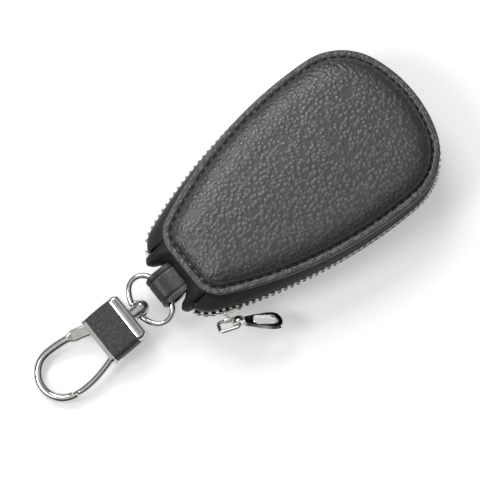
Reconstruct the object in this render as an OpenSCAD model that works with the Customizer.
// Zipped leather key case with a swivel snap hook.
// Row frame: +X runs along the case to its wide end, +Z is up, the case lies on its rear panel at z = 0.
// The origin is on the flat underside, at the middle of the panels' length.

/* [Case outline] */
// Length of the front and rear panels
case_len = 90; // [86:0.5:94]
// Greatest width of the panels
case_w = 55.8; // [54:0.2:57]
// Distance from the small end to the widest place
wide_at = 63; // [61:0.5:65]
// Radius of the long sides
side_r = 133.8; // [130:0.1:138]
// Radius of the shoulders of the wide end
shoulder_r = 19.7; // [18.2:0.5:21.2]
// Radius of the wide end
end_r = 42; // [39:0.5:44]
// Radius of the corners at the small end
corner_r = 9.3; // [8.3:0.5:10.3]

/* [Panels] */
// Leather thickness of the moulded panels
panel_t = 1.6; // [1.2:0.1:2]
// Thickness of the sewn border
border_t = 1.4; // [1:0.1:1.8]
// Width of the flat border outside the stitch groove
border_w = 1.7; // [1.4:0.1:2.2]
// Width of the stitch groove
groove_w = 0.7; // [0.5:0.1:1]
// Depth of the stitch groove
groove_d = 0.35; // [0.2:0.05:0.5]
// Rise of the front dome over its border
front_rise = 3.6; // [3:0.1:4.5]
// Extra crown in the middle of the front dome
front_crown = 0.4; // [0.2:0.1:0.8]
// Drop of the rear dome under its border
rear_rise = 3.6; // [3:0.1:4.5]
// Width of the rounded shoulder of each dome
dome_run = 11; // [9:0.5:12.5]
// Thickness of the fabric lining
lining_t = 0.5; // [0.3:0.1:0.8]
// Gap between the lining and the panel
lining_gap = 0.05; // [0.03:0.01:0.1]

/* [Side walls] */
// Height of the side wall between the two borders
wall_h = 15.2; // [14.6:0.1:16.4]
// How far the chain's middle stands out past the border at the widest place
chain_out = -0.2; // [-0.4:0.1:0.2]
// Radius of the chain's long sides, which widens the wall toward the small end
chain_side_r = 168; // [164:1:172]
// Radius of the chain where it turns in at the small end
chain_corner_r = 9; // [8:0.5:10]
// Distance inside the panels' small end at which the chain turns in
chain_turn = 0.5; // [0:0.1:0.8]
// Direction in which the chain ends, round from the case's long axis
chain_end_turn = 155; // [150:1:158]
// Thickness of the zip tape
tape_t = 0.9; // [0.7:0.05:1.1]
// Inset of the tape's sewn edge from the border's edge
tape_in = 1; // [0.6:0.1:1.4]
// Height of the upright tape beside the teeth
tape_upright = 2.4; // [2.2:0.1:2.8]

/* [Zip] */
// Distance from one tooth to the next in a row
tooth_pitch = 2.1; // [2:0.05:2.4]
// Gap between a tooth and its neighbours of the other row
tooth_gap = 0.12; // [0.1:0.01:0.16]
// Thickness of a tooth through the tape
tooth_deep = 2.3; // [2.1:0.1:2.6]
// Width of a tooth's head
tooth_head = 1.5; // [1.3:0.1:1.7]
// Height of a tooth's legs, which clamp the tape
tooth_leg = 1.5; // [1.3:0.1:1.8]
// Clearance between a tooth's legs and the tape
tooth_grip = 0.08; // [0.04:0.01:0.1]
// Depth to which the two rows interlock
tooth_mesh = 0.7; // [0.6:0.05:0.8]
// Lift of the upper row where the slider parts it from the lower row
row_lift = 1.9; // [1.8:0.1:2.2]
// Distance from the zip's end to the slider's middle
slider_at = 11.4; // [11:0.1:12]
// Length of the slider
slider_l = 6.2; // [6:0.1:6.8]
// Height of the slider's plates
slider_h = 5.2; // [5:0.1:5.6]
// Thickness of the slider's plates
slider_t = 0.9; // [0.7:0.1:1.1]
// Clearance between the slider and the teeth
slider_gap = 0.16; // [0.12:0.02:0.24]
// Wire of the link between slider and pull
link_wire = 1.2; // [1:0.1:1.3]
// Length of the link outward from the slider
link_l = 4.9; // [4.8:0.1:5.4]
// Width of the link along the slider
link_w = 7.4; // [7.4:0.1:8]
// Width of the slider's bail along the slider
bail_w = 1.8; // [1.5:0.1:1.8]
// Angle at which the link stands out above level
link_lift = 28; // [20:1:34]
// Length of the pull past its eye
pull_l = 14.6; // [14:0.2:16]
// Width of the pull
pull_w = 6.4; // [5.8:0.2:7]
// Thickness of the pull
pull_t = 1.7; // [1.4:0.1:2]
// Diameter of the pull's eye
pull_eye_d = 4.2; // [3.8:0.1:4.6]
// Width of the pull's eye along the link
pull_eye_w = 2.1; // [1.9:0.1:2.1]
// Angle at which the pull hangs below the link
pull_drop = 25; // [20:1:30]

/* [Straps] */
// Width of the leather straps
strap_w = 10.4; // [9.6:0.2:11]
// Thickness of one layer of strap
strap_t = 1.2; // [1:0.1:1.4]
// Diameter of the space inside a strap's loop
loop_d = 5; // [4.9:0.1:5.2]
// Distance from the panels' small end to the middle of the ring's loop
loop_past = 7.2; // [7:0.1:7.8]
// Height of the swivel ring's wire over the surface
loop_z = 11.5; // [11:0.1:12]
// Distance that the strap reaches in from the panels' small end
strap_in = 6; // [5:0.5:7]
// Diameter of the rivet that joins the straps
rivet_d = 5; // [4.4:0.2:5.6]
// Outer diameter of the key ring inside the case
key_ring_d = 25; // [24:0.5:26]
// Wire of the key ring inside the case
key_ring_wire = 1.3; // [1.1:0.1:1.4]
// Leather thickness of the gusset at the small end
gusset_t = 1.1; // [0.9:0.1:1.3]
// Distance from the panels' small end to the gusset's outer folds
gusset_past = 7.2; // [6.8:0.1:7.6]

/* [Swivel] */
// Outer width of the swivel ring
ring_w = 18.6; // [18.2:0.2:20]
// Outer length of the swivel ring along the clip
ring_l = 13.2; // [13:0.2:14]
// Wire of the swivel ring
ring_wire = 1.9; // [1.7:0.1:2.1]
// Radius of the ring's round ends
ring_end_r = 4.4; // [4:0.1:4.6]
// Diameter of the swivel pin
pin_d = 2; // [1.8:0.1:2.2]
// Running clearance of the swivel pin, link and gate, on the radius
run_gap = 0.06; // [0.03:0.01:0.1]
// How far the ring's boss stands out beyond its wire, each way
boss_out = 0.35; // [0.3:0.05:0.4]
// Diameter of the boss on the ring
boss_d = 4.4; // [4:0.1:4.8]
// Diameter of the swivel washer
washer_d = 6; // [5.4:0.2:6.4]
// Thickness of the swivel washer
washer_t = 0.8; // [0.6:0.1:1]
// Diameter of the swivel pin's domed head
head_d = 5.2; // [4.8:0.2:5.6]
// Height of the swivel pin's domed head
head_h = 2.2; // [1.8:0.1:2.6]

/* [Clip] */
// Width of the clip's sleeve
sleeve_w = 16; // [15.4:0.2:17]
// Length of the clip's sleeve
sleeve_l = 9.3; // [8.9:0.2:10.1]
// Thickness of the clip's sleeve
sleeve_h = 6; // [5.8:0.1:6.4]
// Leather thickness of the sleeve
sleeve_t = 0.7; // [0.6:0.05:0.8]
// Length of the metal cap at the ring's side
cap_l = 3; // [2.8:0.1:3.6]
// Thickness of the hook's face plate
plate_t = 1.3; // [1.1:0.1:1.5]
// How far the metal ends stand proud of the sleeve
proud = 0.2; // [0.1:0.05:0.3]
// Radius of the hook's round end, to the middle of its section
hook_r = 7.9; // [7.6:0.1:8.2]
// Distance from the face plate to the middle of the round end
hook_mid = 14.4; // [13.8:0.1:15]
// Diameter of the hook's section at the round end
hook_d = 2.9; // [2.7:0.1:3.1]
// Width of the hook's root at the plate
hook_root_w = 3.6; // [3.3:0.1:3.9]
// Half of the distance between the two legs at the plate
leg_y = 4.9; // [4.7:0.1:5.2]
// Thickness of the spring gate
gate_d = 2.2; // [2:0.1:2.3]
// Diameter of the gate's pivot pin
gate_pin_d = 1.2; // [1:0.1:1.3]
// Distance of the gate's pivot behind the plate's face
gate_back = 3; // [2.8:0.1:3.2]
// Angle at which the hook's nose ends, from the clip's axis
nose_at = 76; // [72:1:80]
// Angle of the lap between nose and gate
lap_angle = 9; // [7:1:11]

/* [Hidden] */

leather = [0.16, 0.16, 0.17];
leather_edge = [0.1, 0.1, 0.11];
cloth = [0.22, 0.22, 0.24];
chrome = [0.78, 0.78, 0.8];
dark_chrome = [0.35, 0.35, 0.38];
$fn = 48;
// One overrun serves all cuts
over = 0.5;

// Heights
rear_border_top = rear_rise + border_t;
front_border_z = rear_border_top + wall_h;
chain_z = rear_border_top + wall_h / 2;

// Points along each arc of a panel's outline: corner, side, shoulder, end, shoulder, side, corner
arc_steps = [4, 11, 7, 9, 7, 11, 4];
dome_steps = 6;
least_corner_share = 0.12;
wide_x = wide_at - case_len / 2;
small_x = -case_len / 2;
end_cx = case_len / 2 - end_r;

// The point with the greater y where two circles meet
function meet(c1, r1, c2, r2) =
    let (d = norm(c2 - c1), a = (r1 * r1 - r2 * r2 + d * d) / (2 * d), h = sqrt(r1 * r1 - a * a),
        u = (c2 - c1) / d, foot = c1 + a * u, p = foot + h * [-u.y, u.x], q = foot - h * [-u.y, u.x])
    p.y > q.y ? p : q;
function angle_to(a, b) = atan2(b.y - a.y, b.x - a.x);

// An arc is [centre, radius, first angle, last angle]; every outline runs anticlockwise
function arc_at(arc, share) =
    let (a = arc[2] + share * (arc[3] - arc[2])) [arc[0].x + arc[1] * cos(a), arc[0].y + arc[1] * sin(a), a];
function arc_len(arc) = (arc[3] - arc[2]) * PI / 180 * arc[1];
function path_len(arcs, i = 0) = i == len(arcs) ? 0 : arc_len(arcs[i]) + path_len(arcs, i + 1);
// The point and outward angle at a distance along a path
function on_path(arcs, s, i = 0) =
    i == len(arcs) - 1 || s <= arc_len(arcs[i]) ? arc_at(arcs[i], s / arc_len(arcs[i]))
    : on_path(arcs, s - arc_len(arcs[i]), i + 1);
function mirrored(c) = [c.x, -c.y];
function between(a, b, share) = a + (b - a) * share;

// Centres of a long side and a shoulder, for an outline of a width, side radius and outset
function side_centre(w, r) = [wide_x, w / 2 - r];
function shoulder_centre(w, r, out) =
    meet(side_centre(w, r), r - shoulder_r - out, [end_cx, 0], end_r - shoulder_r);

// The seven arcs of a panel's outline, moved in by d
function panel_arcs(d) =
    let (cs = side_centre(case_w, side_r), ch = shoulder_centre(case_w, side_r, 0), ce = [end_cx, 0],
        rc = max(corner_r - d, corner_r * least_corner_share), xc = small_x + d + rc,
        cc = [xc, cs.y + sqrt(pow(side_r - d - rc, 2) - pow(xc - wide_x, 2))],
        a_corner = angle_to(cs, cc), a_shoulder = angle_to(cs, ch), a_end = angle_to(ce, ch))
    [[mirrored(cc), rc, -180, -a_corner], [mirrored(cs), side_r - d, -a_corner, -a_shoulder],
        [mirrored(ch), shoulder_r - d, -a_shoulder, -a_end], [ce, end_r - d, -a_end, a_end],
        [ch, shoulder_r - d, a_end, a_shoulder], [cs, side_r - d, a_shoulder, a_corner],
        [cc, rc, a_corner, 180]];
function panel_outline(d) =
    let (arcs = panel_arcs(d))
    concat([for (i = [0:len(arcs) - 1], k = [0:arc_steps[i] - 1])
            let (p = arc_at(arcs[i], k / arc_steps[i])) [p.x, p.y]],
        [[small_x + d, arcs[6][0].y]]);

// The seven arcs of the zip's chain, from its right-hand end round the wide end to its left-hand end
chain_w = case_w + 2 * chain_out;
chain_side_c = side_centre(chain_w, chain_side_r);
chain_shoulder_c = shoulder_centre(chain_w, chain_side_r, chain_out);
chain_turn_a = acos((small_x + chain_turn - wide_x) / chain_side_r);
chain_corner_c = chain_side_c + (chain_side_r - chain_corner_r) * [cos(chain_turn_a), sin(chain_turn_a)];
chain_shoulder_a = angle_to(chain_side_c, chain_shoulder_c);
chain_round_a = angle_to([end_cx, 0], chain_shoulder_c);
chain_arcs = [[mirrored(chain_corner_c), chain_corner_r, -chain_end_turn, -chain_turn_a],
    [mirrored(chain_side_c), chain_side_r, -chain_turn_a, -chain_shoulder_a],
    [mirrored(chain_shoulder_c), shoulder_r + chain_out, -chain_shoulder_a, -chain_round_a],
    [[end_cx, 0], end_r + chain_out, -chain_round_a, chain_round_a],
    [chain_shoulder_c, shoulder_r + chain_out, chain_round_a, chain_shoulder_a],
    [chain_side_c, chain_side_r, chain_shoulder_a, chain_turn_a],
    [chain_corner_c, chain_corner_r, chain_turn_a, chain_end_turn]];
chain_len = path_len(chain_arcs);

// The sewn edge of the tapes, which stops part of the way round each corner
tape_corner_share = 0.45;
tape_panel_arcs = panel_arcs(tape_in);
tape_arcs = [for (i = [0:6])
    let (a = tape_panel_arcs[i], cut = (a[3] - a[2]) * tape_corner_share)
    [a[0], a[1], a[2] + (i == 0 ? cut : 0), a[3] - (i == 6 ? cut : 0)]];
tape_len = path_len(tape_arcs);

// Lofts: each ring has n points, anticlockwise seen from the last ring
function skin_faces(n, rings, closed = false) = [for (i = [0:rings - (closed ? 1 : 2)], j = [0:n - 1])
    let (k = (j + 1) % n, a = i * n, b = (i + 1) % rings * n)
        each [[a + j, b + j, b + k], [a + j, b + k, a + k]]];
module loft(rings) {
    n = len(rings[0]);
    first = (len(rings) - 1) * n;
    polyhedron(points = [for (ring = rings) each ring],
        faces = concat([[for (j = [0:n - 1]) j]], skin_faces(n, len(rings)), [[for (j = [n - 1:-1:0]) first + j]]));
}
// The same for a wall, whose rings run up one face and down the other, with the ends closed in pairs
module wall_loft(rings) {
    n = len(rings[0]);
    first = (len(rings) - 1) * n;
    pairs = [for (j = [0:n / 2 - 2]) each [[j, j + 1, n - 2 - j], [j, n - 2 - j, n - 1 - j]]];
    polyhedron(points = [for (ring = rings) each ring],
        faces = concat(pairs, skin_faces(n, len(rings)), [for (f = pairs) [first + f[2], first + f[1], first + f[0]]]));
}

// A panel's ring at an inset and height; a share under 1 draws it in toward the panel's middle
function panel_ring(d, z, share = 1) =
    [for (p = panel_outline(d)) [end_cx + (p.x - end_cx) * share, p.y * share, z]];
dome_in = border_w + groove_w + groove_d;
edge_round = border_t / 4;
dome_power_share = 0.85;
function dome_z(a, z, rise) = z + rise * pow(sin(a), dome_power_share);

// A moulded panel over z = 0, border at the bottom, hollow underneath
module moulded_panel(rise, crown) {
    top = border_t + rise;
    hollow_rise = top - panel_t;
    hollow_in = dome_in + panel_t;
    crown_shares = crown > 0 ? [0.75, 0.5, 0.25] : [];
    under = [for (k = [dome_steps:-1:0]) let (a = 90 * k / dome_steps)
        panel_ring(hollow_in + (dome_run - panel_t) * (1 - cos(a)), dome_z(a, 0, hollow_rise))];
    border = [panel_ring(0, 0), panel_ring(0, border_t - edge_round), panel_ring(edge_round, border_t),
        panel_ring(border_w, border_t), panel_ring(border_w + groove_d / 2, border_t - groove_d),
        panel_ring(border_w + groove_w + groove_d / 2, border_t - groove_d)];
    dome = [for (k = [0:dome_steps]) let (a = 90 * k / dome_steps)
        panel_ring(dome_in + dome_run * (1 - cos(a)), dome_z(a, border_t, rise))];
    crowned = [for (s = crown_shares) panel_ring(dome_in + dome_run, top + crown * (1 - s * s), s)];
    loft(concat(under, border, dome, crowned));
}
// The lining inside such a panel, its rim lying on the border's underside plane
module panel_lining(rise) {
    top = border_t + rise - panel_t - lining_gap;
    rim_in = dome_in + panel_t + lining_gap;
    run = dome_run - panel_t - lining_gap;
    steps = dome_steps / 2;
    under = [for (k = [steps:-1:0]) let (a = 90 * k / steps)
        panel_ring(rim_in + lining_t + (run - lining_t) * (1 - cos(a)), dome_z(a, 0, top - lining_t))];
    over_side = [for (k = [0:steps]) let (a = 90 * k / steps)
        panel_ring(rim_in + run * (1 - cos(a)), dome_z(a, 0, top) - (k == 0 ? 0 : lining_gap))];
    loft(concat(under, over_side));
}
module on_front() {
    translate([0, 0, front_border_z]) children();
}
module on_rear() {
    translate([0, 0, rear_border_top]) mirror([0, 0, 1]) children();
}
module front_panel() { color(leather) on_front() moulded_panel(front_rise, front_crown); }
module rear_panel() { color(leather) on_rear() moulded_panel(rear_rise, 0); }
module front_lining() { color(cloth) on_front() panel_lining(front_rise); }
module rear_lining() { color(cloth) on_rear() panel_lining(rear_rise); }

// Side walls. Near the slider the upper row and its tape are lifted clear of the lower row
part_from_share = 0.45;
part_to_share = 0.12;
part_from = slider_at - slider_l * part_from_share;
part_to = slider_at + slider_l * part_to_share;
function smooth(t) = let (c = min(max(t, 0), 1)) c * c * (3 - 2 * c);
function lift_at(s, lift) = lift * smooth((part_to - s) / (part_to - part_from));
tooth_top = tooth_mesh / 2;
tooth_body = tooth_head / 2;
tape_edge = tooth_top + tooth_body / 2;

// Distances of the tapes' stations along the chain, closer together where the rows part and turn in
part_steps = 20;
chain_steps = 76;
end_steps = 10;
tape_stops = concat([for (k = [0:part_steps - 1]) part_to * k / part_steps],
    [for (k = [0:chain_steps - 1]) between(part_to, chain_len - part_to, k / chain_steps)],
    [for (k = [0:end_steps]) between(chain_len - part_to, chain_len, k / end_steps)]);
wall_bow_share = 0.45;
// One row's tape above the chain, as stations of eight points; its edge clears the teeth's slots
function tape_station(s, lift) =
    let (c = on_path(chain_arcs, s), t = on_path(tape_arcs, s / chain_len * tape_len),
        n = [cos(c.z), sin(c.z)], half = tape_t / 2, c2 = [c.x, c.y], t2 = [t.x, t.y],
        mid = c2 * (1 - wall_bow_share) + t2 * wall_bow_share,
        z0 = tape_edge + tooth_grip / 2 + lift_at(s - tooth_l / 2, lift),
        z1 = z0 + tape_upright, z3 = wall_h / 2, z2 = (z1 + z3) / 2,
        spots = [[c2, z0], [c2, z1], [mid, z2], [t2, z3]])
    concat([for (p = spots) [p[0].x - half * n.x, p[0].y - half * n.y, chain_z + p[1]]],
        [for (k = [3:-1:0]) let (p = spots[k]) [p[0].x + half * n.x, p[0].y + half * n.y, chain_z + p[1]]]);
module zip_tape(lift) {
    wall_loft([for (s = tape_stops) tape_station(s, lift)]);
}
module under_chain() {
    translate([0, 0, 2 * chain_z]) mirror([0, 0, 1]) children();
}
module upper_zip_tape() { color(cloth) zip_tape(row_lift); }
module lower_zip_tape() { color(cloth) under_chain() zip_tape(0); }

// Teeth: legs that clamp the tape and a narrower head that reaches past the chain's middle
tooth_l = tooth_pitch / 2 - tooth_gap;
stop_l = tooth_pitch / 3;
tooth_count = floor((chain_len - 2 * stop_l - tooth_l) / tooth_pitch);
module tooth() {
    leg = tooth_deep / 2;
    head = tooth_head / 2;
    slot = tape_t / 2 + tooth_grip;
    rotate([90, 0, 0]) linear_extrude(tooth_l, center = true)
        polygon([[-head, -tooth_top], [head, -tooth_top], [head, tooth_top], [leg, tape_edge],
            [leg, tape_edge + tooth_leg], [slot, tape_edge + tooth_leg], [slot, tape_edge],
            [-slot, tape_edge], [-slot, tape_edge + tooth_leg], [-leg, tape_edge + tooth_leg],
            [-leg, tape_edge], [-head, tooth_top]]);
}
module at_chain(s, lift) {
    p = on_path(chain_arcs, s);
    translate([p.x, p.y, chain_z + lift_at(s, lift)]) rotate([0, 0, p.z]) children();
}
module tooth_row(offset_share, lift) {
    for (k = [0:tooth_count - 1]) at_chain(stop_l + (k + 0.5 + offset_share) * tooth_pitch, lift) tooth();
}
module upper_zip_teeth() { color(chrome) tooth_row(0.5, row_lift); }
module lower_zip_teeth() { color(chrome) under_chain() tooth_row(0, 0); }

// Stops: a crimped block at each end of each row
module stop() {
    wide = tooth_deep;
    translate([-wide / 2, -stop_l / 2, tooth_top / 2])
        difference() {
            cube([wide, stop_l, tape_edge + tooth_leg]);
            translate([wide / 2 - tape_t / 2 - tooth_grip, -over, tape_edge - tooth_top / 2])
                cube([tape_t + 2 * tooth_grip, stop_l + 2 * over, tooth_leg + tape_edge]);
        }
}
module stop_pair(lift) {
    at_chain(stop_l / 2, lift) stop();
    at_chain(chain_len - stop_l / 2, lift) stop();
}
module upper_zip_stops() { color(chrome) stop_pair(row_lift); }
module lower_zip_stops() { color(chrome) under_chain() stop_pair(0); }

// The gusset at the small end: folded leather with a lobe each side of the strap
gusset_x = small_x - gusset_past;
gusset_gap = 0.25;
stop_gap = 0.55;
chain_end = on_path(chain_arcs, chain_len);
chain_end_x = chain_end.x;
chain_end_y = chain_end.y;
sewn_end = on_path(tape_arcs, tape_len);
sewn_y = panel_arcs(tape_in)[6][0].y;
fold_in_x = small_x - 2 * gusset_t;
// Where the lobe's outer fold lies, from the strap's edge to the chain's end, and where it starts
lobe_share = 0.611;
lobe_y = strap_w / 2 + (chain_end_y - strap_w / 2) * lobe_share;
lobe_start_y = strap_w / 2 + gusset_t + gusset_t / 2;
// How far two points between the chain's end and the lobe go toward the lobe
fold_share = 0.7;
fold_y_share = 1 / 3;
crest_share = 0.9;
// Plan of the fold and of the sewn edge on the +Y side, from the chain's end to the middle
fold_half = [[chain_end_x - stop_gap, chain_end_y - stop_gap],
    [between(chain_end_x, gusset_x, fold_share), between(chain_end_y, lobe_y, fold_y_share)],
    [gusset_x, between(chain_end_y, lobe_y, crest_share) - gusset_gap],
    [gusset_x + gusset_t, lobe_start_y + gusset_t / 2],
    [(fold_in_x + gusset_x) / 2, lobe_start_y], [fold_in_x, strap_w / 2 - gusset_t], [fold_in_x, gusset_gap]];
sewn_in_x = small_x + tape_in;
sewn_turn_share = 0.28;
sewn_shares = [1, 0.8, 0.6, 0.4];
sewn_half = concat([[sewn_end.x - gusset_gap, sewn_end.y - gusset_gap],
        [(sewn_end.x + sewn_in_x) / 2, between(sewn_end.y, sewn_y, sewn_turn_share)]],
    [for (share = sewn_shares) [sewn_in_x, sewn_y * share]], [[sewn_in_x, gusset_gap]]);
function both_sides(half) = concat(half, [for (k = [len(half) - 2:-1:0]) mirrored(half[k])]);
fold_plan = both_sides(fold_half);
sewn_plan = both_sides(sewn_half);
gusset_levels = 8;
bulge_power_share = 0.8;
// A point of the fold at a level, before it has any thickness
function fold_spot(i, level) =
    let (bulge = pow(sin(180 * level / gusset_levels), bulge_power_share)) sewn_plan[i] * (1 - bulge) + fold_plan[i] * bulge;
function gusset_spot(i, level, t) =
    let (p = fold_spot(max(i - 1, 0), level), q = fold_spot(min(i + 1, len(fold_plan) - 1), level),
        run = (q - p) / norm(q - p), spot = fold_spot(i, level) + t * [-run.y, run.x])
    [spot.x, spot.y, rear_border_top + wall_h * level / gusset_levels];
module end_gusset() {
    last = len(fold_plan) - 1;
    slot_w = strap_w + 2 * gusset_gap;
    color(leather_edge) difference() {
        wall_loft([for (i = [0:last]) concat([for (k = [0:gusset_levels]) gusset_spot(i, k, gusset_t)],
            [for (k = [gusset_levels:-1:0]) gusset_spot(i, k, 0)])]);
        translate([gusset_x, -slot_w / 2, strap_z - strap_t - gusset_gap])
            cube([2 * gusset_past, slot_w, 2 * strap_t + gusset_gap + gusset_gap / 2]);
    }
}

// Straps: the ring's strap passes through the gusset and is riveted to the key ring's strap inside
loop_r = loop_d / 2;
loop_x = small_x - loop_past;
strap_z = loop_z + loop_r;
inner_x = small_x + strap_in;
// A strap folded round a space at the origin; the flat part leaves toward +X at a height
module strap_loop(flat_l, flat_z) {
    rotate([90, 0, 0]) linear_extrude(strap_w, center = true) difference() {
        union() {
            circle(loop_r + strap_t);
            translate([0, flat_z - strap_t]) square([flat_l, 2 * strap_t]);
            polygon([[0, 0], [loop_r + strap_t, 0], [loop_r + strap_t + strap_t / 4, flat_z - strap_t],
                [loop_r + strap_t, flat_z]]);
        }
        circle(loop_r);
    }
}
rivet_x = (inner_x + small_x) / 2;
module rivet_hole(z) {
    translate([rivet_x, 0, z - 2 * strap_t]) cylinder(d = rivet_d / 2, h = 4 * strap_t);
}
module ring_strap() {
    color(leather) difference() {
        translate([loop_x, 0, loop_z]) strap_loop(inner_x - loop_x, strap_z - loop_z);
        rivet_hole(strap_z);
    }
}
// The inner strap lies under the ring's strap and loops round the key ring
key_strap_share = 0.8;
key_strap_z = strap_z - 2 * strap_t;
key_loop_r = loop_r * key_strap_share;
key_loop_x = inner_x + key_loop_r + 2 * strap_t;
key_loop_z = key_strap_z - key_loop_r;
key_strap_w = strap_w * key_strap_share;
key_strap_x = small_x + gusset_t;
module key_strap() {
    flat_l = key_loop_x - key_strap_x;
    color(leather_edge) difference() {
        translate([key_loop_x, 0, key_loop_z]) rotate([90, 0, 0])
            linear_extrude(key_strap_w, center = true) difference() {
                union() {
                    circle(key_loop_r + strap_t);
                    translate([-flat_l, key_loop_r - strap_t]) square([flat_l, 2 * strap_t]);
                }
                circle(key_loop_r);
            }
        rivet_hole(key_strap_z);
    }
}
rivet_flange = strap_t / 2;
module strap_rivet() {
    stack = 4 * strap_t;
    color(chrome) translate([rivet_x, 0, key_strap_z - strap_t]) union() {
        cylinder(d = rivet_d / 2, h = stack);
        translate([0, 0, -rivet_flange]) cylinder(d = rivet_d, h = rivet_flange);
        translate([0, 0, stack]) cylinder(d1 = rivet_d, d2 = rivet_d / 2, h = rivet_flange);
    }
}
// The key ring: two turns of wire side by side, resting on the rear lining
key_ring_r = key_ring_d / 2 - key_ring_wire / 2;
key_floor = panel_t + lining_gap + lining_t + key_ring_wire + key_ring_wire / 5;
key_droop = asin((key_loop_z - key_floor) / (2 * key_ring_r));
module key_ring() {
    color(chrome) translate([key_loop_x, 0, key_loop_z]) rotate([0, key_droop, 0])
        translate([key_ring_r, 0, 0]) rotate_extrude() union() {
            translate([key_ring_r, key_ring_wire / 2]) circle(d = key_ring_wire);
            translate([key_ring_r, -key_ring_wire / 2]) circle(d = key_ring_wire);
            translate([key_ring_r - key_ring_wire / 4, -key_ring_wire / 2])
                square([key_ring_wire / 2, key_ring_wire]);
        }
}

// Slider: two plates over the chain, joined by the wedge that parts the rows
module at_slider() {
    at_chain(slider_at, 0) children();
}
plate_in = tooth_deep / 2 + slider_gap;
plate_out = plate_in + slider_t;
lip_z = tape_edge + tooth_leg + slider_gap;
lip_in = tape_t / 2 + slider_gap;
bail_x = plate_out + link_wire / 2 + slider_t;
bail_r = link_wire / 2 + run_gap;
bail_back = (slider_l - bail_w) / 2;
slider_nose = slider_l / 3;
// Shares of the slider's plates that slant and narrow, of its wedge and of the bail's wall
slant_share = 0.2;
waist_share = 0.8;
wedge_share = 0.2;
bail_wall_share = 0.7;
module slider_plate() {
    // Wide where the rows are apart, narrower toward the closed chain
    back = -slider_l / 2;
    front = slider_l / 2;
    tall = slider_h / 2;
    waist = tall * waist_share;
    slant = tall * slant_share;
    rotate([90, 0, 90]) linear_extrude(slider_t)
        polygon([[back, -waist], [back + slant, -tall], [front - slider_nose, -tall],
            [front - slider_t / 2, -waist], [front, -waist / 2], [front, waist / 2],
            [front - slider_t / 2, waist], [front - slider_nose, tall], [back + slant, tall],
            [back, waist]]);
}
module slider_body() {
    wedge_z = tooth_top + slider_gap;
    wedge_h = row_lift - tooth_mesh - 2 * slider_gap;
    lip_h = slider_h / 2 - lip_z;
    color(chrome) at_slider() union() {
        translate([plate_in, 0, 0]) slider_plate();
        translate([-plate_out, 0, 0]) slider_plate();
        translate([-plate_in - over / 5, -slider_l / 2, wedge_z])
            cube([2 * plate_in + 2 * over / 5, slider_l * wedge_share, wedge_h]);
        for (side = [-1, 1])
            translate([side > 0 ? lip_in : -plate_in - over / 5, -slider_l / 2, -slider_h / 2])
                cube([plate_in - lip_in + over / 5, slider_l - slider_nose, lip_h]);
        difference() {
            union() {
                translate([bail_x, bail_w / 2 - bail_back, 0]) rotate([90, 0, 0])
                    cylinder(r = bail_r + slider_t * bail_wall_share, h = bail_w);
                translate([plate_out - slider_t / 2, -bail_w / 2 - bail_back, -bail_r - slider_t / 2])
                    cube([bail_x - plate_out + slider_t / 2, bail_w, 2 * bail_r + slider_t]);
            }
            translate([bail_x, bail_w / 2 + over - bail_back, 0]) rotate([90, 0, 0])
                cylinder(r = bail_r, h = bail_w + 2 * over);
        }
    }
}
// Link: a rounded loop of wire through the slider's bail
link_corner_share = 0.85;
link_corner = link_wire * link_corner_share;
module at_link() {
    at_slider() translate([bail_x, -bail_back, 0]) rotate([0, -link_lift, 0]) children();
}
module wire_corner(a) {
    rotate([0, 0, a]) rotate_extrude(angle = 90) translate([link_corner, 0]) circle(d = link_wire);
}
link_long = link_l - link_wire;
link_wide = link_w - link_wire;
module slider_link() {
    run_x = link_long - 2 * link_corner;
    run_y = link_wide - 2 * link_corner;
    color(chrome) at_link() union() {
        for (x = [0, link_long])
            translate([x, run_y / 2, 0]) rotate([90, 0, 0]) cylinder(d = link_wire, h = run_y);
        for (side = [-1, 1])
            translate([link_corner, side * link_wide / 2, 0]) rotate([0, 90, 0]) cylinder(d = link_wire, h = run_x);
        translate([link_corner + run_x, run_y / 2, 0]) wire_corner(0);
        translate([link_corner, run_y / 2, 0]) wire_corner(90);
        translate([link_corner, -run_y / 2, 0]) wire_corner(180);
        translate([link_corner + run_x, -run_y / 2, 0]) wire_corner(270);
    }
}
// Pull: a leaf with an oval window and a round eye that hangs on the link's side
pull_x = link_long / 2;
pull_y = link_wide / 2;
pull_hole_l_share = 0.52;
pull_hole_w_share = 0.55;
pull_hole_at_share = 0.58;
pull_hole_l = pull_l * pull_hole_l_share;
pull_hole_w = pull_w * pull_hole_w_share;
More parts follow.
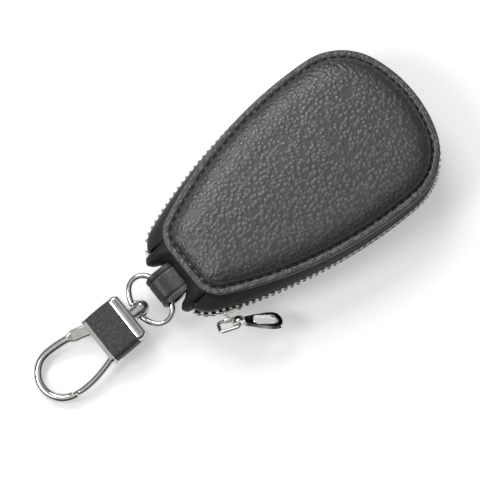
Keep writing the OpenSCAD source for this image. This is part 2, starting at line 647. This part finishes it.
// The leaf's rounds: how far over from its middle, how far back from its end, and their radii
leaf_over_shares = [0, 0.3, -0.3];
leaf_back_shares = [0.8, 1.4, 1.7];
leaf_round_shares = [0.8, 0.7, 0.7];
module at_pull() {
    at_link() translate([pull_x, pull_y, 0]) rotate([-pull_drop, 0, 0]) children();
}
module pull_leaf_plan(inset) {
    tip = pull_w / 2;
    hull() {
        for (k = [0:2])
            translate([tip * leaf_over_shares[k], pull_l - tip * leaf_back_shares[k]])
                circle(tip * leaf_round_shares[k] - inset);
        translate([0, pull_eye_d / 2]) circle(pull_eye_w / 2 - inset);
    }
}
module pull_window(inset) {
    hull() for (k = [-1, 1])
        translate([0, pull_l * pull_hole_at_share + k * (pull_hole_l - pull_hole_w) / 2])
            circle(pull_hole_w / 2 + inset);
}
module zip_pull() {
    bevel = pull_t / 4;
    color(dark_chrome) at_pull() difference() {
        union() {
            rotate([0, 90, 0]) translate([0, 0, -pull_eye_w / 2]) cylinder(d = pull_eye_d, h = pull_eye_w);
            translate([0, 0, -pull_t / 2]) linear_extrude(pull_t) difference() {
                pull_leaf_plan(bevel);
                pull_window(bevel);
            }
            translate([0, 0, bevel - pull_t / 2]) linear_extrude(pull_t - 2 * bevel) difference() {
                pull_leaf_plan(0);
                pull_window(0);
            }
        }
        rotate([0, 90, 0]) translate([0, 0, -pull_w]) cylinder(r = link_wire / 2 + run_gap, h = 2 * pull_w);
    }
}

// The clip's own frame: its origin is the ring's wire in the strap, and the hook lies toward -X
ring_half_w = (ring_w - ring_wire) / 2;
ring_half_l = (ring_l - ring_wire) / 2;
boss_l = ring_wire + 2 * boss_out;
clip_gap = 2 * run_gap;
ring_far = 2 * ring_half_l;
cap_x = -ring_far - boss_l / 2 - clip_gap;
sleeve_x = cap_x - cap_l;
plate_x = sleeve_x - sleeve_l;
hook_face = plate_x - plate_t;
hook_end = hook_face - hook_mid - hook_r;
clip_droop = asin((loop_z - hook_d / 2) / -hook_end);
module on_clip() {
    translate([loop_x, 0, loop_z]) rotate([0, -clip_droop, 0]) children();
}

// Swivel ring: an oval of four arcs with a bored boss on its far side
ring_c = ring_half_w - ring_end_r;
ring_k = ring_half_l - ring_end_r;
ring_off = (ring_c * ring_c - ring_k * ring_k) / (2 * ring_k);
ring_side_r = ring_half_l + ring_off;
ring_turn = atan2(ring_off, ring_c);
ring_arcs = [[[-ring_half_l, ring_c], ring_end_r, 90 - ring_turn, 90 + ring_turn],
    [[ring_off - ring_half_l, 0], ring_side_r, 90 + ring_turn, 270 - ring_turn],
    [[-ring_half_l, -ring_c], ring_end_r, 270 - ring_turn, 270 + ring_turn],
    [[-ring_off - ring_half_l, 0], ring_side_r, 270 + ring_turn, 450 - ring_turn]];
ring_arc_steps = [10, 7, 10, 7];
ring_sides = 14;
// The ring's wire as one closed loft round its four arcs
module ring_wire_loop() {
    spots = [for (i = [0:3], k = [0:ring_arc_steps[i] - 1]) arc_at(ring_arcs[i], k / ring_arc_steps[i])];
    polyhedron(points = [for (p = spots, k = [0:ring_sides - 1])
            let (a = -360 * k / ring_sides, out = ring_wire / 2 * cos(a))
                [p.x + out * cos(p.z), p.y + out * sin(p.z), ring_wire / 2 * sin(a)]],
        faces = skin_faces(ring_sides, len(spots), true));
}
module swivel_ring() {
    color(chrome) on_clip() difference() {
        union() {
            ring_wire_loop();
            translate([-ring_far - boss_l / 2, 0, 0]) rotate([0, 90, 0]) cylinder(d = boss_d, h = boss_l);
        }
        translate([-ring_far - boss_l, 0, 0]) rotate([0, 90, 0])
            cylinder(r = pin_d / 2 + run_gap, h = 2 * boss_l);
    }
}
washer_x = -ring_far + boss_l / 2 + clip_gap;
module swivel_washer() {
    color(chrome) on_clip() translate([washer_x, 0, 0]) rotate([0, 90, 0]) difference() {
        cylinder(d = washer_d, h = washer_t);
        translate([0, 0, -over]) cylinder(d = pin_d, h = washer_t + 2 * over);
    }
}
pin_end = cap_x - cap_l + over;
module swivel_pin() {
    head_x = washer_x + washer_t;
    dome_r = (head_d * head_d / 4 + head_h * head_h) / (2 * head_h);
    color(chrome) on_clip() union() {
        translate([pin_end, 0, 0]) rotate([0, 90, 0]) cylinder(d = pin_d, h = head_x - pin_end + over / 5);
        translate([head_x, 0, 0]) rotate([0, 90, 0]) intersection() {
            translate([0, 0, head_h - dome_r]) sphere(dome_r);
            cylinder(d = head_d, h = head_h);
        }
    }
}

// A slab across the clip with rounded upright edges, standing from x along +X
module slab(x, l, w, h, r) {
    translate([x, 0, 0]) rotate([90, 0, 90]) linear_extrude(l) rounded_box(w, h, r);
}
module rounded_box(w, h, r) {
    union() {
        square([w - 2 * r, h], center = true);
        square([w, h - 2 * r], center = true);
        for (sx = [-1, 1], sy = [-1, 1])
            translate([sx * (w / 2 - r), sy * (h / 2 - r)]) circle(r);
    }
}
metal_w = sleeve_w + 2 * proud;
metal_h = sleeve_h + 2 * proud;
sleeve_round = sleeve_h / 4;
core_w = sleeve_w - 2 * sleeve_t;
core_h = sleeve_h - 2 * sleeve_t;
core_round = sleeve_round - sleeve_t / 2;
cap_taper_share = 0.45;
cap_face_share = 1.4;
module clip_end_cap() {
    taper = cap_l * cap_taper_share;
    color(chrome) on_clip() difference() {
        hull() {
            slab(sleeve_x, cap_l - taper, metal_w, metal_h, sleeve_round);
            slab(cap_x - taper / 4, taper / 4, metal_w - taper * cap_face_share, metal_h - taper,
                sleeve_round / 2);
        }
        translate([pin_end, 0, 0]) rotate([0, 90, 0]) cylinder(d = pin_d, h = cap_l + over);
    }
}
module clip_sleeve() {
    color(leather) on_clip() difference() {
        slab(plate_x, sleeve_l, sleeve_w, sleeve_h, sleeve_round);
        slab(plate_x - over, sleeve_l + 2 * over, core_w, core_h, core_round);
    }
}

// Hook: sections swept along a curved leg and round the end. Points are [along the clip, across it]
function bend(p, q, r, t) = (1 - t) * (1 - t) * p + 2 * t * (1 - t) * q + t * t * r;
function hook_dir(p, q) = (q - p) / norm(q - p);
// A section at a point, across a direction, of a width and a height
section_sides = 12;
function section(p, dir, w, h) = [for (k = [0:section_sides - 1]) let (a = 360 * k / section_sides)
    [-p.x + dir.y * w / 2 * cos(a), -p.y - dir.x * w / 2 * cos(a), h / 2 * sin(a)]];
leg_steps = 8;
round_steps = 18;
leg_points = [for (k = [0:leg_steps - 1])
    bend([-plate_t / 2, -leg_y], [hook_mid / 2, -hook_r], [hook_mid, -hook_r], k / leg_steps)];
round_points = [for (k = [0:round_steps]) let (a = -90 + (90 + nose_at + lap_angle) * k / round_steps)
    [hook_mid + hook_r * cos(a), hook_r * sin(a)]];
hook_points = concat(leg_points, round_points);
function swept(points, widths, heights) = [for (k = [0:len(points) - 1])
    let (p = points[max(k - 1, 0)], q = points[min(k + 1, len(points) - 1)])
    section(points[k], hook_dir(p, q), widths[k], heights[k])];
root_power_share = 1.5;
function hook_width(k) =
    hook_d + (hook_root_w - hook_d) * pow(max(1 - k / leg_steps, 0), root_power_share);
gate_y = leg_y + gate_d / 4;
slot_top = gate_d / 2 + run_gap;
pivot = [hook_face + gate_back, -gate_y, 0];
eye_r = gate_d / 2 + gate_pin_d / 4;
eye_share = 0.55;
eye_h = gate_d * eye_share;
gate_swing = 22;
gate_start = [-gate_back, gate_y];
gate_tip = [hook_mid + hook_r * cos(nose_at), hook_r * sin(nose_at)];
gate_bow_shares = [0.62, 1.2];
gate_bow = [hook_mid * gate_bow_shares.x, hook_r * gate_bow_shares.y];
// The gate's lean at its root, and half of its width across the clip there
gate_lean = (gate_bow.y - gate_y) / (gate_bow.x + gate_back);
gate_half = gate_d / 2 * sqrt(1 + gate_lean * gate_lean) + 2 * run_gap;
// Room for the gate's root and for its swing through the plate
module gate_room() {
    reach = gate_back + over;
    swung = reach * tan(gate_swing - atan(gate_lean));
    translate([pivot.x, pivot.y, -slot_top]) cylinder(r = eye_r + 2 * run_gap, h = 2 * slot_top);
    translate([pivot.x, pivot.y, -slot_top]) linear_extrude(2 * slot_top)
        polygon([[0, -gate_half], [0, gate_half], [-reach, gate_half + swung],
            [-reach, -gate_half - reach * gate_lean]]);
}
module clip_hook() {
    color(chrome) on_clip() difference() {
        union() {
            slab(hook_face, plate_t, metal_w, metal_h, sleeve_round);
            slab(plate_x, sleeve_l, core_w, core_h, core_round);
            translate([hook_face, 0, 0]) difference() {
                loft(swept(hook_points, [for (k = [0:len(hook_points) - 1]) hook_width(k)],
                    [for (k = [0:len(hook_points) - 1]) hook_d]));
                intersection() {
                    translate([-hook_mid, 0, -hook_d]) cylinder(r = hook_r, h = 2 * hook_d);
                    past_nose();
                }
            }
        }
        gate_room();
        translate([pivot.x, pivot.y, -metal_h]) cylinder(r = gate_pin_d / 2 + run_gap, h = 2 * metal_h);
    }
}
// The part of the plane beyond the nose's angle, seen from the round end's centre
module past_nose() {
    reach = 2 * hook_r;
    translate([-hook_mid, 0, 0]) rotate([0, 0, 180 + nose_at])
        translate([-reach, 0, -hook_d]) cube([2 * reach, reach, 2 * hook_d]);
}
module gate_pin() {
    color(dark_chrome) on_clip() translate([pivot.x, pivot.y, -core_h / 2])
        cylinder(d = gate_pin_d, h = core_h);
}
// Gate: swept from its eye to a lapped tip that shuts against the nose from inside
gate_steps = 12;
gate_points = [for (k = [0:gate_steps]) bend(gate_start, gate_bow, gate_tip, k / gate_steps)];
// Angle of the gap between nose and gate
lap_gap = 3;
// The side of the hook's nose, up to an angle seen from the round end's centre
module before_angle(a) {
    translate([hook_face - hook_mid, 0, 0]) rotate([0, 0, 180 + a])
        translate([-hook_r / 2, -2 * hook_r, -hook_d]) cube([2 * hook_r, 2 * hook_r, 2 * hook_d]);
}
module spring_gate() {
    gate_w = [for (k = [0:gate_steps]) gate_d];
    color(chrome) on_clip() difference() {
        union() {
            translate([hook_face, 0, 0]) loft(swept(gate_points, gate_w, gate_w));
            translate([pivot.x, pivot.y, -gate_d / 2]) cylinder(r = eye_r, h = eye_h);
        }
        // Room for the spring over the eye
        translate([pivot.x, pivot.y, eye_h - gate_d / 2]) cylinder(r = eye_r + 2 * run_gap, h = gate_d);
        translate([pivot.x, pivot.y, -gate_d]) cylinder(r = gate_pin_d / 2 + run_gap, h = 2 * gate_d);
        // The lap: only the inner half of the tip reaches past the nose's lip
        difference() {
            before_angle(nose_at + lap_angle + lap_gap);
            translate([hook_face - hook_mid, 0, -2 * hook_d]) cylinder(r = hook_r - clip_gap, h = 4 * hook_d);
        }
        before_angle(nose_at + lap_gap);
    }
}
// Spring: a torsion coil round the gate's pin
coil_turns = 2;
coil_rings = 10;
coil_wire_share = 0.2;
coil_pitch_share = 1.2;
coil_wire = gate_pin_d * coil_wire_share;
coil_r = gate_pin_d / 2 + coil_wire;
coil_rise = coil_turns * coil_wire * coil_pitch_share;
coil_z = eye_h - gate_d / 2 + (gate_d - eye_h - coil_rise) / 2;
function coil_section(a, z) = [for (k = [0:5]) let (b = 60 * k, r = coil_r + coil_wire / 2 * cos(b))
    [r * cos(a), r * sin(a), z + coil_wire / 2 * sin(b)]];
module gate_spring() {
    last = coil_turns * coil_rings;
    color(dark_chrome) on_clip() translate([pivot.x, pivot.y, coil_z])
        loft([for (k = [0:last]) coil_section(-360 * k / coil_rings, coil_rise * k / last)]);
}

rear_panel();
front_panel();
rear_lining();
front_lining();
lower_zip_tape();
upper_zip_tape();
lower_zip_teeth();
upper_zip_teeth();
lower_zip_stops();
upper_zip_stops();
end_gusset();
ring_strap();
key_strap();
strap_rivet();
key_ring();
slider_body();
slider_link();
zip_pull();
swivel_ring();
swivel_pin();
swivel_washer();
clip_end_cap();
clip_sleeve();
clip_hook();
spring_gate();
gate_pin();
gate_spring();
